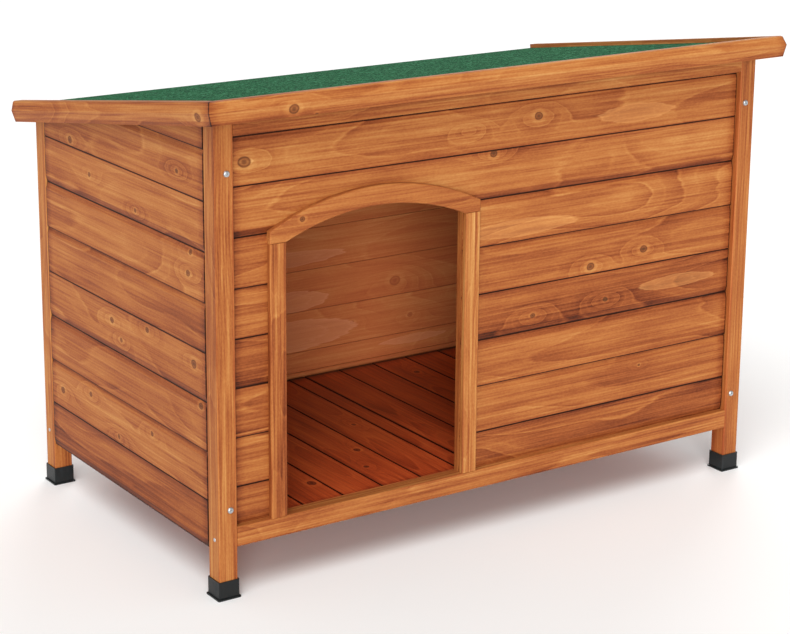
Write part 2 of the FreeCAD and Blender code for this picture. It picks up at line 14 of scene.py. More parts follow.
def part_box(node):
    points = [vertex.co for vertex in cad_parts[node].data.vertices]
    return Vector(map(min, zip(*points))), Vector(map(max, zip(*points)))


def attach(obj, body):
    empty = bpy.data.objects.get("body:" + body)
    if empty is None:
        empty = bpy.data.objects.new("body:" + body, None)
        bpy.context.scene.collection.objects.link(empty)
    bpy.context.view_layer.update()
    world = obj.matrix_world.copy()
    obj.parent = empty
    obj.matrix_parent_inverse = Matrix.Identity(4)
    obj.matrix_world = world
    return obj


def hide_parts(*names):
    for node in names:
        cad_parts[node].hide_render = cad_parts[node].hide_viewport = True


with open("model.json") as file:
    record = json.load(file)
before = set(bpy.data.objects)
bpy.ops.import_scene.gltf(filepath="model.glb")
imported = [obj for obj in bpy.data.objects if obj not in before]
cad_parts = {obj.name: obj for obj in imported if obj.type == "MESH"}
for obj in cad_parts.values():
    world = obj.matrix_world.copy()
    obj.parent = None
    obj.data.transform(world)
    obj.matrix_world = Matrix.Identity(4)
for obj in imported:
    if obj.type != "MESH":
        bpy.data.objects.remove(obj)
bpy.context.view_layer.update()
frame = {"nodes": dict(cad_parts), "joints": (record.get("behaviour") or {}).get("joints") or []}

log = logging.getLogger("dog_house")

MM = 0.001
ROOF_SLOPE = 0.165
ROOF_ANGLE = math.atan(ROOF_SLOPE)
ROOF_ALONG = Vector((0, math.cos(ROOF_ANGLE), -math.sin(ROOF_ANGLE)))
ROOF_NORMAL = Vector((0, math.sin(ROOF_ANGLE), math.cos(ROOF_ANGLE)))
BOARD_PITCH = 72.6 * MM
PLANK_PITCH = 69.5 * MM

Socket = bpy.types.NodeSocket
Material = bpy.types.Material
Value = Socket | float | tuple
Triple = tuple[float, float, float]


class Axis(Enum):
    """A direction of the house: across the front, front to rear, or up."""

    X = 0
    Y = 1
    Z = 2


def linear(red: int, green: int, blue: int) -> tuple[float, float, float, float]:
    """Turn a colour as a screen shows it into the linear one that a shader takes.

    Args:
        red: Red, 0 to 255.
        green: Green, 0 to 255.
        blue: Blue, 0 to 255.

    Returns:
        Linear red, green, blue and an alpha of one.
    """
    channels = []
    for level in (red / 255, green / 255, blue / 255):
        channels.append(level / 12.92 if level <= 0.04045 else ((level + 0.055) / 1.055) ** 2.4)
    return (*channels, 1.0)


class Graph:
    """Builder of one procedural material's nodes."""

    def __init__(self, name: str) -> None:
        """Start an empty material.

        Args:
            name: The material's name.
        """
        self.material = bpy.data.materials.new(name)
        self.material.use_nodes = True
        self.tree = self.material.node_tree
        self.tree.nodes.clear()

    def node(self, kind: str, inputs: tuple | dict = (), **settings: object) -> bpy.types.bpy_prop_collection:
        """Add a node and feed its inputs.

        Args:
            kind: The node's type, without its ShaderNode prefix.
            inputs: Sockets to link from or constants, in order or by the inputs' names or numbers.
            **settings: Properties to set on the node.

        Returns:
            Its outputs.
        """
        node = self.tree.nodes.new("ShaderNode" + kind)
        for name, value in settings.items():
            setattr(node, name, value)
        for key, value in inputs.items() if isinstance(inputs, dict) else enumerate(inputs):
            if isinstance(value, Socket):
                self.tree.links.new(value, node.inputs[key])
            else:
                node.inputs[key].default_value = value
        return node.outputs

    def math(self, operation: str, *values: Value) -> Socket:
        """Work out a number from one to three others."""
        return self.node("Math", values, operation=operation)[0]

    def plus(self, first: Value, second: Value) -> Socket:
        """Add two numbers."""
        return self.math("ADD", first, second)

    def minus(self, first: Value, second: Value) -> Socket:
        """Take the second number from the first."""
        return self.math("SUBTRACT", first, second)

    def times(self, first: Value, second: Value, more: Value = 0.0) -> Socket:
        """Multiply two numbers, and add a third."""
        return self.math("MULTIPLY_ADD", first, second, more)

    def vector(self, operation: str, *values: Value) -> Socket:
        """Work out a vector, or a dot product, from vectors."""
        outputs = self.node("VectorMath", values, operation=operation)
        return outputs["Value" if operation == "DOT_PRODUCT" else "Vector"]

    def combine(self, *parts: Value) -> Socket:
        """Join three numbers into a vector."""
        return self.node("CombineXYZ", parts)[0]

    def split(self, vector: Socket) -> list[Socket]:
        """Split a vector into its three numbers."""
        return list(self.node("SeparateXYZ", (vector,)))

    def place(self) -> Socket:
        """Return where a point of the piece is, in metres."""
        return self.node("TexCoord")["Object"]

    def noise(self, vector: Socket, scale: Triple, detail: float = 2.0, roughness: float = 0.5) -> Socket:
        """Soft noise between 0 and 1, with so many cells per metre along each part of a vector."""
        return self.node("TexNoise", {"Vector": self.vector("MULTIPLY", vector, scale), "Scale": 1.0,
                                      "Detail": detail, "Roughness": roughness})["Fac"]

    def sway(self, vector: Socket, scale: Triple, reach: float, detail: float = 2.0) -> Socket:
        """Noise centred on nought, times a reach."""
        return self.times(self.minus(self.noise(vector, scale, detail), 0.5), reach)

    def span(self, value: Value, low: float, high: float, to_low: float, to_high: float) -> Socket:
        """Map a stretch of numbers, from low to high, smoothly to another, clamped."""
        return self.node("MapRange", (value, low, high, to_low, to_high), interpolation_type="SMOOTHSTEP")[0]

    def ramp(self, factor: Socket, stops: list[tuple[float, tuple]], steps: bool = False) -> Socket:
        """Colour from a number.

        Args:
            factor: The number, 0 to 1.
            stops: Places and their colours.
            steps: Whether each colour holds until the next place.

        Returns:
            The colour.
        """
        output = self.node("ValToRGB", (factor,))[0]
        band = output.node.color_ramp
        band.interpolation = "CONSTANT" if steps else "LINEAR"
        while len(band.elements) > len(stops):
            band.elements.remove(band.elements[-1])
        while len(band.elements) < len(stops):
            band.elements.new(1.0)
        for element, (place, colour) in zip(band.elements, stops):
            element.position = place
            element.color = colour
        return output

    def shades(self, factor: Socket, stops: tuple[tuple[float, float], ...]) -> Socket:
        """Number from another, by straight lines between the given pairs."""
        return self.ramp(factor, [(place, (grey, grey, grey, 1)) for place, grey in stops])

    def mix(self, factor: Value, first: Value, second: Value) -> Socket:
        """Mix two colours by the second's share."""
        return self.node("Mix", {0: factor, 6: first, 7: second}, data_type="RGBA")[2]

    def finish(self, colour: Value, roughness: Value, height: Socket | None = None, depth: float = 0.0,
               **others: Value) -> Material:
        """Close the material with its shader.

        Args:
            colour: Base colour.
            roughness: Roughness.
            height: Relief between 0 and 1, or none.
            depth: Depth of the relief in metres.
            **others: Other inputs of the shader, with spaces as underscores.

        Returns:
            The material.
        """
        inputs = {"Base Color": colour, "Roughness": roughness}
        inputs.update((name.replace("_", " "), value) for name, value in others.items())
        if height is not None:
            inputs["Normal"] = self.node("Bump", {"Distance": depth, "Height": height})[0]
        self.node("OutputMaterial", (self.node("BsdfPrincipled", inputs)[0],))
        return self.material


# Finishes


@dataclass(frozen=True)
class Knot:
    """A knot: its place along and across the grain, its radius, and how far rings bend round it."""

    along: float
    across: float
    radius: float = 4 * MM
    reach: float = 1.0


@dataclass(frozen=True)
class Stain:
    """Colours of stained softwood from its darkest lines to its palest."""

    deep: tuple = linear(44, 17, 5)
    dark: tuple = linear(104, 46, 19)
    brown: tuple = linear(141, 74, 35)
    honey: tuple = linear(165, 99, 49)
    light: tuple = linear(183, 125, 68)
    pale: tuple = linear(204, 153, 94)
    knot: tuple = linear(104, 64, 34)
    roughness: float = 0.46
    shine: float = 0.15

    def stops(self) -> list[tuple[float, tuple]]:
        """Return the colours with their places from dark to light."""
        return [(0.0, self.deep), (0.20, self.dark), (0.40, self.brown), (0.58, self.honey),
                (0.78, self.light), (1.0, self.pale)]


HONEY = Stain()
DEEP_RED = Stain(deep=linear(44, 14, 8), dark=linear(102, 32, 15), brown=linear(148, 52, 23),
                 honey=linear(182, 72, 32), light=linear(204, 95, 44), pale=linear(215, 124, 66),
                 knot=linear(66, 26, 16), roughness=0.34, shine=0.3)
RAW_SAWN = Stain(deep=linear(70, 36, 18), dark=linear(122, 66, 32), brown=linear(156, 92, 46),
                 honey=linear(178, 114, 60), light=linear(194, 134, 78), pale=linear(208, 156, 100),
                 roughness=0.6)


@dataclass(frozen=True)
class Inside:
    """The weather-free side of a timber: where it begins, on which side, and its redder stain; the default is
    also lighter, as painted light for the dim inside of the house.
    """

    level: float
    above: bool
    # Lighter and redder than the outer stain: partly the inner face's own colour, partly painted light for the
    # dim inside of the house.
    stain: tuple = linear(206, 108, 68)
    strength: float = 0.46


@dataclass(frozen=True)
class Flame:
    """A pale flame of sapwood: its middle, and half of its length and of its height, in metres."""

    along: float
    across: float
    half_length: float
    half_height: float


def knots(*rows: tuple[float, ...]) -> tuple[Knot, ...]:
    """Make knots from millimetres.

    Args:
        *rows: Place along and across the grain, radius, and how far rings bend where it isn't 1.

    Returns:
        The knots.
    """
    return tuple(Knot(*(part * MM for part in row[:3]), *row[3:]) for row in rows)


def flames(*rows: tuple[float, ...]) -> tuple[Flame, ...]:
    """Make flames from millimetres."""
    return tuple(Flame(*(part * MM for part in row)) for row in rows)


@dataclass(frozen=True)
class Mitre:
    """Slanting ends of a board: the outer face's place through it, the way inward, and which ends."""

    face: float
    inward: float
    both_ends: bool = True


@dataclass(frozen=True)
class Bevels:
    """A wall's bevelled boards: one in a few has its bevel on the lower edge, the others on the upper."""

    low_row: int
    cycle: int = 3
    height: float = 10 * MM


@dataclass(frozen=True)
class Sapwood:
    """Pale flames in a wall's boards, their colour and strength, and whether the outer side shows them."""

    flames: tuple[Flame, ...]
    tint: tuple = linear(210, 154, 112)
    strength: float = 1.0
    outside: bool = False


@dataclass(frozen=True)
class Grain:
    """How the wood of a piece was cut: its directions, its boards and the heart of the log."""

    along: Axis
    across: Axis
    depth: Axis
    first: float
    seed: int
    pitch: float = 1.0
    tones: tuple[float, ...] = (0.0,)
    slope: float = 0.0
    ring: float = 6.0 * MM
    heart: float = 15 * MM
    spread: float = 60 * MM
    taper: float = 0.06
    contrast: float = 1.0
    fine: float = 1.0
    knots: tuple[Knot, ...] = ()
    sapwood: Sapwood | None = None
    middle: float = 0.0
    half_length: float = 9.0
    mitre: Mitre | None = None
    inside: Inside | None = None
    # Level of the top rail's lower edge: a painted shadow line is laid on the boards just under it.
    rail_shadow: float | None = None
    underside: float | None = None
    bevels: Bevels | None = None

    def material(self, name: str, stain: Stain = HONEY) -> Material:
        """Make the stained wood of these boards."""
        return Wood(name, self, stain).build()


@dataclass(frozen=True)
class Reaches:
    """How far each part of the figure, of the stain on it and of the painted shade, moves the wood's lightness.
    """

    board: float = 0.05
    streak: float = 0.46
    line: float = 0.42
    fibre: float = 0.46
    blotch: float = 0.32
    speckle: float = 0.22
    ring: float = 0.34
    groove: float = 0.36
    hairline: float = 0.20
    end: float = 0.16
    # Dark line at the very ends: painted shade where wall boards meet the posts, a dark joint line at mitres
    # and plank ends.
    end_line_and_shade: float = 0.34
    # Painted shadow line on the boards just under the top rail.
    rail_shadow: float = 0.42
    underside: float = 0.20
    edge: float = 0.08
    # Bevels that look down: partly stain, partly painted shade.
    lower_bevel_stain_and_shade: float = 0.17
    upper_bevel: float = 0.07


REACH = Reaches()
MIDDLE_TONE = 0.55
RING_RELIEF = 0.35
FIBRE_RELIEF = 0.55
FIBRE_GLOSS = 0.16
WOOD_RELIEF = 0.3 * MM
# A number's place from 0 to 1, and the shade or the share there.
RING_SHADES = ((0.0, 0.52), (0.30, 0.56), (0.36, 0.70), (0.42, 0.47), (0.70, 0.30), (0.86, 0.14),
               (0.925, 0.86), (1.0, 0.54))
KNOT_SHADES = ((0.0, 0.50), (0.42, 0.50), (0.66, 0.62), (0.82, 0.60), (0.875, 0.10), (0.91, 0.34),
               (0.955, 0.42), (0.985, 0.20), (1.0, 0.12))
KNOT_SHARES = ((0.80, 0.0), (0.875, 0.75), (0.92, 0.45), (0.96, 0.40), (0.99, 0.7))
FLAME_SHARES = ((0.0, 0.34), (0.17, 0.40), (0.20, 0.60), (0.23, 0.36), (0.42, 0.46), (0.48, 0.72),
                (0.52, 0.0), (1.0, 0.0))


class Wood(Graph):
    """Nodes of stained wood of one cut."""

    def __init__(self, name: str, cut: Grain, stain: Stain) -> None:
        """Work out the place along, across and through the boards.

        Args:
            name: The material's name.
            cut: How the wood was cut.
            stain: Its colours.
        """
        super().__init__(name)
        self.cut = cut
        self.stain = stain
        place = self.place()
        if cut.slope:
            place = self.node("Mapping", {"Rotation": (cut.slope, 0, 0), "Vector": place})[0]
        parts = self.split(place)
        self.along, self.across, self.depth = (parts[axis.value] for axis in (cut.along, cut.across, cut.depth))
        self.row = self.math("FLOOR", self.math("DIVIDE", self.minus(self.across, cut.first), cut.pitch))
        chance = {"Vector": self.combine(self.row, float(cut.seed), 0.5)}
        self.luck = self.split(self.node("TexWhiteNoise", chance, noise_dimensions="3D")["Color"])
        self.offset = self.minus(self.across, self.times(self.row, cut.pitch, cut.first + cut.pitch / 2))
        self.here = self.combine(self.times(self.luck[0], 7.0, self.along),
                                 self.times(self.luck[1], 3.0, self.across), self.depth)
        self.warped = self.combine(self.plus(self.along, self.sway(self.here, (50, 60, 60), 4 * MM)),
                                   self.plus(self.offset, self.sway(self.here, (40, 75, 75), 3 * MM)), self.row)
        self.fibre = self.noise(self.here, (8, 400, 400))
        self.blotch = self.noise(self.here, (8, 15, 15), 3.0)
        self.share = self.inside_share()

    def build(self) -> Material:
        """Join the figure, rings, knots, flames, the stain in grooves and at ends, and the painted shade.

        Returns:
            The material.
        """
        cut, stain = self.cut, self.stain
        ring, near = self.rings()
        show = self.span(self.noise(self.here, (2.5, 20, 20)), 0.30, 0.62, 0.12 * cut.contrast, cut.contrast)
        tone = self.times(self.times(ring, show), REACH.ring, self.figure())
        # Stain at joints, bevels and ends, together with painted shade and painted shadow lines.
        tone = self.minus(tone, self.stain_and_shade())
        tone = self.plus(tone, self.minus(self.shades(near, KNOT_SHADES), 0.5))
        colour = self.ramp(tone, stain.stops())
        colour = self.mix(self.shades(near, KNOT_SHARES), colour, stain.knot)
        if cut.sapwood:
            shown = self.minus(1.0, self.share) if cut.sapwood.outside else self.share
            shown = self.times(self.times(self.flames(), shown), cut.sapwood.strength)
            colour = self.mix(shown, colour, cut.sapwood.tint)
        if cut.inside:
            # Inner side: its own redder colour, and with the default tint also painted light.
            colour = self.mix(self.times(self.share, cut.inside.strength), colour, cut.inside.stain)
        gloss = self.times(self.fibre, FIBRE_GLOSS, stain.roughness)
        relief = self.times(ring, RING_RELIEF, self.times(self.fibre, FIBRE_RELIEF))
        return self.finish(colour, gloss, relief, WOOD_RELIEF, Specular_IOR_Level=stain.shine)

    def inside_share(self) -> Value:
        """Tell the inner side of a wall from its outer side.

        Returns:
            Nought on the weather side and one on the inner side.
        """
        inside = self.cut.inside
        if not inside:
            return 0.0
        ends = (0.0, 1.0) if inside.above else (1.0, 0.0)
        return self.span(self.depth, inside.level - 1.5 * MM, inside.level + 1.5 * MM, *ends)

    def figure(self) -> Socket:
        """Work out the wood's lightness from its board, streaks and blotches.

        Returns:
            The lightness, nought to one.
        """
        streak = self.noise(self.here, (1.2, 42, 42), 3.0, 0.55)
        line = self.noise(self.here, (2.2, 170, 170))
        speckle = self.noise(self.here, (230, 480, 480))
        fine = self.cut.fine
        tone = self.board_tone()
        for source, reach in ((self.luck[2], REACH.board), (streak, REACH.streak), (line, REACH.line * fine),
                              (self.fibre, REACH.fibre * fine), (self.blotch, REACH.blotch),
                              (speckle, REACH.speckle)):
            tone = self.times(source, reach, self.minus(tone, reach / 2))
        return tone

    def board_tone(self) -> Socket:
        """Give each board its lightness before its figure.

        Returns:
            The lightness.
        """
        count = len(self.cut.tones)
        stops = [(index / count, (MIDDLE_TONE + tone,) * 3 + (1,)) for index, tone in enumerate(self.cut.tones)]
        return self.ramp(self.math("DIVIDE", self.plus(self.row, 0.5), float(count)), stops, steps=True)

    def rings(self) -> tuple[Socket, Socket]:
        """Draw growth rings as the saw lays them open, bent round the knots.

        Returns:
            The rings' shade about nought, and a field that is one in the middle of a knot.
        """
        cut = self.cut
        aside = self.times(self.minus(self.luck[1], 0.5), cut.spread, self.offset)
        aside = self.plus(aside, self.sway(self.here, (1.7, 3, 3), 55 * MM, 1.0))
        lean = self.times(self.minus(self.luck[0], 0.5), cut.taper)
        under = self.plus(self.times(self.along, lean, cut.heart),
                          self.sway(self.here, (2.6, 7, 7), 34 * MM, 1.0))
        under = self.plus(under, self.times(self.depth, 0.6))
        radius = self.math("SQRT", self.times(aside, aside, self.times(under, under)))
        radius = self.plus(radius, self.sway(self.here, (13, 90, 90), 1.7 * MM))
        near, around = self.knot_fields()
        radius = self.times(around, 13 * MM, radius)
        phase = self.math("FRACT", self.math("DIVIDE", radius, cut.ring))
        return self.minus(self.shades(phase, RING_SHADES), 0.5), near

    def knot_fields(self) -> tuple[Socket, Socket]:
        """Make fields that rise to one in the middle of each knot, within its own board.

        Returns:
            A field as small as the knots, and a wide one that bends the rings.
        """
        near = around = self.times(self.offset, 0.0)
        for knot in self.cut.knots:
            small = (3.1 * knot.radius, 2.5 * knot.radius)
            wide = ((17 * MM + 3 * knot.radius) * knot.reach, (7 * MM + 1.2 * knot.radius) * knot.reach)
            near = self.math("MAXIMUM", self.bump_at(knot, small), near)
            around = self.math("MAXIMUM", self.bump_at(knot, wide), around)
        return near, around

    def bump_at(self, knot: Knot, reach: tuple[float, float]) -> Socket:
        """Smooth bump round a knot, one at its middle."""
        away = self.away(knot.along, knot.across, reach)
        return self.math("POWER", 0.45, self.vector("DOT_PRODUCT", away, away))

    def away(self, along: float, across: float, reach: tuple[float, float]) -> Socket:
        """Measure from a point of one board.

        Args:
            along: The point's place along the grain.
            across: Its place across the boards.
            reach: The distances along and across that count as one.

        Returns:
            The way from the point, whose third part is nought on its own board only.
        """
        cut = self.cut
        number = math.floor((across - cut.first) / cut.pitch)
        middle = (along, across - cut.first - (number + 0.5) * cut.pitch, number)
        scale = (1 / reach[0], 1 / reach[1], 4.0)
        start = tuple(-part * size for part, size in zip(middle, scale))
        return self.vector("MULTIPLY_ADD", self.warped, scale, start)

    def flames(self) -> Socket:
        """Draw pale sapwood: pointed flames with a brighter ragged outline.

        Returns:
            Its share, nought to one.
        """
        ragged = self.sway(self.here, (22, 260, 260), 0.55)
        inner = self.plus(self.row, 1000.0)
        for flame in self.cut.sapwood.flames:
            x, y, z = self.split(self.away(flame.along, flame.across, (flame.half_length, flame.half_height)))
            away = self.times(y, y, self.math("POWER", self.math("ABSOLUTE", x), 1.3))
            inner = self.math("MINIMUM", self.times(z, z, away), inner)
        return self.shades(self.times(self.plus(inner, ragged), 0.5), FLAME_SHARES)

    def stain_and_shade(self) -> Socket:
        """Darken the wood: stain in the grooves, on the bevels and at the ends, painted shade on the
        down-facing bevels, under the top rails and where boards meet the posts, and the trims towards their
        lower edge.

        Returns:
            How much darker the wood is.
        """
        cut, half = self.cut, self.cut.pitch / 2
        aside = self.math("ABSOLUTE", self.offset)
        groove = self.span(aside, half - 1.8 * MM, half - 0.6 * MM, 0.0, REACH.groove)
        outer = self.times(self.plus(groove, self.bevelled()), self.minus(1.0, self.share))
        hairline = self.span(aside, half - 0.9 * MM, half - 0.5 * MM, 0.0, REACH.hairline)
        reach = self.math("ABSOLUTE", self.minus(self.along, cut.middle))
        if cut.mitre:
            slant = self.times(self.depth, cut.mitre.inward, -cut.mitre.inward * cut.mitre.face)
            if not cut.mitre.both_ends:
                slant = self.times(slant, self.math("LESS_THAN", self.along, cut.middle))
            reach = self.plus(reach, slant)
        end = self.span(reach, cut.half_length - 20 * MM, cut.half_length, 0.0, REACH.end)
        # A crisp dark line at the very ends: painted shade where wall boards meet the posts, a dark joint line
        # elsewhere.
        end_line_and_shade = self.span(reach, cut.half_length - 1.9 * MM, cut.half_length - 0.8 * MM, 0.0, REACH.end_line_and_shade)
        stain_and_shade = self.plus(self.plus(outer, hairline), self.plus(end, end_line_and_shade))
        # Painted shadow: a dark line on the boards just under the top rail, where the rail's shade falls.
        if cut.rail_shadow is not None:
            edge = cut.rail_shadow
            stain_and_shade = self.plus(stain_and_shade, self.span(self.across, edge - 5.5 * MM, edge - 3.4 * MM, 0.0,
                                                     REACH.rail_shadow))
        # Trims: darker towards their lower edge.
        if cut.underside is not None:
            edge = cut.underside
            stain_and_shade = self.plus(stain_and_shade, self.span(self.offset, edge, edge - 6 * MM, 0.0, REACH.underside))
        return self.times(stain_and_shade, self.plus(self.blotch, 0.5))

    def bevelled(self) -> Socket:
        """Darken the bevels with stain, and those that look down more: partly stain, partly painted shade.

        Returns:
            How much darker the wood is.
        """
        half, bevels = self.cut.pitch / 2, self.cut.bevels
        rest = self.span(self.math("ABSOLUTE", self.offset), half - 7 * MM, half, 0.0, REACH.edge)
        if not bevels:
            return rest
        number = self.math("FLOORED_MODULO", self.plus(self.row, 0.25), float(bevels.cycle))
        low = self.math("COMPARE", number, bevels.low_row + 0.25, 0.1)
        start = half - bevels.height
        # Bevels on the lower edge look down: darker by stain and by painted shade.
        down = self.span(self.offset, 0.5 * MM - start, -0.6 * MM - start, 0.0, REACH.lower_bevel_stain_and_shade)
        up = self.span(self.offset, start - 0.5 * MM, start + 0.6 * MM, 0.0, REACH.upper_bevel)
        return self.plus(rest, self.plus(self.times(down, low), self.times(up, self.minus(1.0, low))))


@dataclass(frozen=True)
class FeltFinish:
    """Green mineral chippings pressed into roofing felt."""

    ground: tuple = linear(8, 50, 28)
    chipping: tuple = linear(26, 92, 56)
    bright: tuple = linear(80, 150, 108)
    cells_per_metre: float = 330.0
    relief: float = 0.5 * MM

    def material(self) -> Material:
        """Make the felt's material.

        Returns:
            The material.
        """
        graph = Graph("green_mineral_felt")
        place = graph.place()
        cells = graph.node("TexVoronoi", {"Vector": place, "Scale": self.cells_per_metre}, feature="F1")
        speck = graph.split(cells["Color"])[0]
        patch = graph.sway(place, (26, 26, 26), 0.22, 3.0)
        shade = graph.times(graph.noise(place, (340, 340, 340)), 0.5, speck)
        shade = graph.plus(shade, graph.minus(patch, 0.25))
        colour = graph.ramp(shade, [(0.10, self.ground), (0.50, self.chipping), (0.78, self.chipping),
                                    (0.98, self.bright)])
        height = graph.minus(1.0, graph.times(cells["Distance"], 1.3))
        return graph.finish(colour, 0.95, height, self.relief, Specular_IOR_Level=0.06)


@dataclass(frozen=True)
class PlasticFinish:
    """Near-black moulded plastic with a fine spark-eroded skin."""

    colour: tuple = linear(11, 15, 16)
    worn: tuple = linear(25, 30, 32)

    def material(self) -> Material:
        """Make the plastic's material.

        Returns:
            The material.
        """
        graph = Graph("black_cap_plastic")
        place = graph.place()
        scuff = graph.span(graph.noise(place, (90, 90, 40), 4.0), 0.52, 0.74, 0.0, 1.0)
        skin = graph.noise(place, (1500, 1500, 1500), 1.0)
        colour = graph.mix(scuff, self.colour, self.worn)
        return graph.finish(colour, graph.times(scuff, 0.18, 0.40), skin, 0.1 * MM, Specular_IOR_Level=0.35)


@dataclass(frozen=True)
class ZincFinish:
    """Bright zinc plating with a faint spangle."""

    colour: tuple = linear(205, 208, 210)
    shade: tuple = linear(160, 164, 168)

    def material(self) -> Material:
        """Make the plating's material.

        Returns:
            The material.
        """
        graph = Graph("bright_zinc")
        place = graph.place()
        spangle = graph.noise(place, (420, 420, 420), 3.0)
        brushed = graph.noise(place, (1400, 90, 1400))
        colour = graph.mix(spangle, self.colour, self.shade)
        return graph.finish(colour, graph.times(brushed, 0.22, 0.24), brushed, 0.04 * MM, Metallic=0.9)


# Shared making


def dress(node: str, material: Material) -> None:
    """Give a frame node its material.

    Args:
        node: The node's name.
        material: The material.
    """
    piece = frame["nodes"][node]
    if not piece.material_slots:
        piece.data.materials.append(material)
    for slot in piece.material_slots:
        slot.material = material
    log.info("dressed %s in %s", node, material.name)


def centred(node: str, along: Axis, across: Axis, depth: Axis, seed: int, **cut: object) -> Grain:
    """Give a single timber its grain, with its heart set from the piece's own middle.

    Args:
        node: Its node.
        along: Along the grain.
        across: Across it, on the face that shows.
        depth: Through the timber.
        seed: Seed of its grain.
        **cut: Other fields of its grain.

    Returns:
        The grain.
    """
    low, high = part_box(node)
    return Grain(along, across, depth, (low + high)[across.value] / 2 - 0.5, seed, **cut)


def dress_timber(kind: str, node: str, grain: Grain, stain: Stain = HONEY) -> None:
    """Give a node wood of its own, named after its kind and the node."""
    dress(node, grain.material("%s_%s" % (kind, node), stain))


def mesh_of(name: str, shape: BMesh) -> bpy.types.Mesh:
    """Turn a bmesh into a mesh and free it.

    Args:
        name: The mesh's name.
        shape: The bmesh.

    Returns:
        The mesh.
    """
    mesh = bpy.data.meshes.new(name)
    shape.to_mesh(mesh)
    shape.free()
    return mesh


def stand(name: str, data: bpy.types.ID) -> bpy.types.Object:
    """Put an object into the scene.

    Args:
        name: Its name.
        data: Its mesh, light or camera.

    Returns:
        The object.
    """
    thing = bpy.data.objects.new(name, data)
    bpy.context.scene.collection.objects.link(thing)
    return thing


def finish_piece(name: str, shape: BMesh, body: str, material: Material,
                 replaced: tuple[str, ...] = (), sharp: float | None = 40.0) -> bpy.types.Object:
    """Turn a bmesh into a piece of the house.

    Args:
        name: The piece's name.
        shape: Its shape, in place.
        body: The body it rides on.
        material: Its material.
        replaced: Nodes that it stands for.
        sharp: Degrees from which its edges stay sharp in smooth shading, or none for flat shading.

    Returns:
        The piece.
    """
    bmesh.ops.recalc_face_normals(shape, faces=shape.faces)
    mesh = mesh_of(name, shape)
    mesh.materials.append(material)
    if sharp is not None:
        mesh.polygons.foreach_set("use_smooth", [True] * len(mesh.polygons))
        mesh.set_sharp_from_angle(angle=math.radians(sharp))
    piece = stand(name, mesh)
    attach(piece, body)
    if replaced:
        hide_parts(*replaced)
    log.info("built %s on %s, %d faces", name, body, len(mesh.polygons))
    return piece


# Fasteners


@dataclass
class CrossHeadScrew:
    """A screw with a rounded head and a cross recess, its head outwards along +Z."""

    head_radius: float
    head_height: float
    shank_radius: float
    shank_length: float
    rounding: float
    segments: int = 32

    def head_mesh(self) -> bpy.types.Mesh:
        """Make the head with its recess.

        Returns:
            The mesh, seated on the plane z = 0.
        """
        shape = bmesh.new()
        bmesh.ops.create_cone(shape, cap_ends=True, segments=self.segments, radius1=self.head_radius,
                              radius2=self.head_radius * 0.94, depth=self.head_height,
                              matrix=Matrix.Translation((0, 0, self.head_height / 2)))
        rim = [edge for edge in shape.edges if all(vert.co.z > self.head_height * 0.9 for vert in edge.verts)]
        bmesh.ops.bevel(shape, geom=rim, offset=self.rounding, segments=5, profile=0.5, affect="EDGES",
                        material=-1)
        return self.cut_cross(mesh_of("screw_head", shape))

    def cut_cross(self, mesh: bpy.types.Mesh) -> bpy.types.Mesh:
        """Cut the cross recess into a head.

        Args:
            mesh: The head without it.

        Returns:
            The head with it.
        """
        head = stand("screw_head", mesh)
        cutters = []
        for turn in (0.0, math.pi / 2):
            shape = bmesh.new()
            bmesh.ops.create_cube(shape, size=1.0)
            bmesh.ops.scale(shape, vec=(self.head_radius * 1.15, self.head_radius * 0.24, self.head_height),
                            verts=shape.verts)
            low = [vert for vert in shape.verts if vert.co.z < 0]
            bmesh.ops.scale(shape, vec=(0.35, 0.7, 1), verts=low)
            bmesh.ops.rotate(shape, cent=(0, 0, 0), matrix=Matrix.Rotation(turn, 3, "Z"), verts=shape.verts)
            bmesh.ops.translate(shape, vec=(0, 0, self.head_height * 0.95), verts=shape.verts)
            cutters.append(stand("recess", mesh_of("recess", shape)))
            cut = head.modifiers.new("recess", "BOOLEAN")
            cut.operation = "DIFFERENCE"
            cut.object = cutters[-1]
            cut.solver = "EXACT"
        bpy.context.view_layer.update()
        result = bpy.data.meshes.new_from_object(head.evaluated_get(bpy.context.evaluated_depsgraph_get()))
        for thing in (head, *cutters):
            bpy.data.objects.remove(thing)
        return result

    def group(self, places: list[Matrix]) -> BMesh:
        """Stand one screw at each place.

        Args:
            places: Matrices that take the head's seat and +Z to the house.

        Returns:
            The screws as one bmesh.
        """
        head = self.head_mesh()
        shape = bmesh.new()
        for place in places:
            before = set(shape.verts)
            shape.from_mesh(head)
            added = [vert for vert in shape.verts if vert not in before]
            bmesh.ops.transform(shape, matrix=place, verts=added)
            if self.shank_length:
                low = Matrix.Translation((0, 0, -self.shank_length / 2))
                bmesh.ops.create_cone(shape, cap_ends=True, segments=16, radius1=self.shank_radius,
                                      radius2=self.shank_radius, depth=self.shank_length, matrix=place @ low)
        return shape


def facing(place: Vector, outward: Vector, turn: float = 0.0) -> Matrix:
    """Seat a screw.

    Args:
        place: Where its head is seated.
        outward: The way its head looks.
        turn: Its turn about itself.

    Returns:
        The matrix that puts it there.
    """
    aim = outward.to_track_quat("Z", "Y").to_matrix().to_4x4()
    return Matrix.Translation(place) @ aim @ Matrix.Rotation(turn, 4, "Z")


